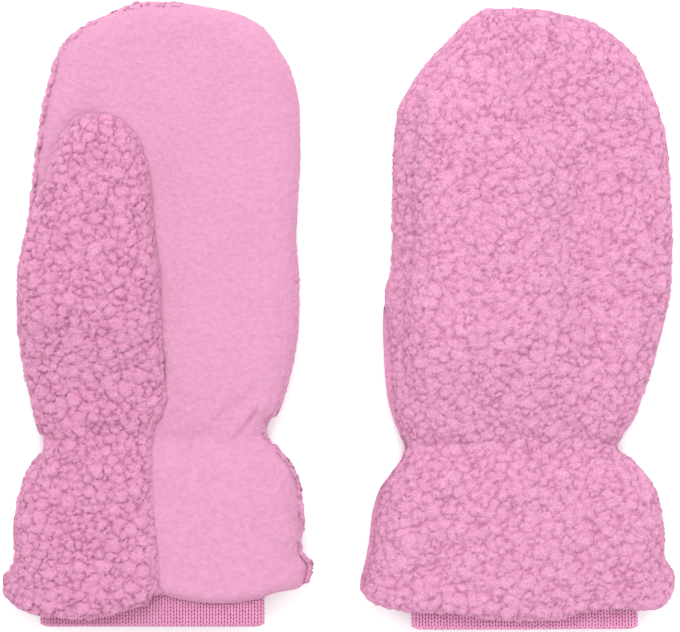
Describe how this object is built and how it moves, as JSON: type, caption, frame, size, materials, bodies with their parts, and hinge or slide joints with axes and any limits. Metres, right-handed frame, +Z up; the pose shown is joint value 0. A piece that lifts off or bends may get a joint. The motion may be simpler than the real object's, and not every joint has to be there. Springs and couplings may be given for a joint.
{
  "type": "pair of baby mittens",
  "caption": "Curly fleece mittens with smooth palms, thumbs, drawn-in wrists, flared hems and ribbed knit cuffs, laid flat, one palm up and one back up.",
  "frame": {"origin": "on the table, under the middle of the box that holds both mittens", "axes": "+Z up from the table, +Y towards the fingertips, +X from the palm-up left mitten towards the back-up right one; both thumbs point to -X"},
  "size_m": [0.1819, 0.1696, 0.0178],
  "materials": {
    "curly_fleece": "short curly sherpa pile in clumps of 2 to 4 mm, matt, pink",
    "smooth_fleece": "brushed fleece with a soft short nap, matt, pink",
    "rib_knit": "rib knit with 1.6 mm wales, matt, deeper pink"
  },
  "bodies": {
    "root": {"left_back_panel": "curly_fleece", "left_palm_panel": "smooth_fleece", "left_thumb_front": "curly_fleece", "left_thumb_back": "smooth_fleece", "left_rib_cuff": "rib_knit", "right_back_panel": "curly_fleece", "right_palm_panel": "smooth_fleece", "right_thumb_front": "curly_fleece", "right_thumb_back": "smooth_fleece", "right_rib_cuff": "rib_knit"}
  },
  "joints": []
}
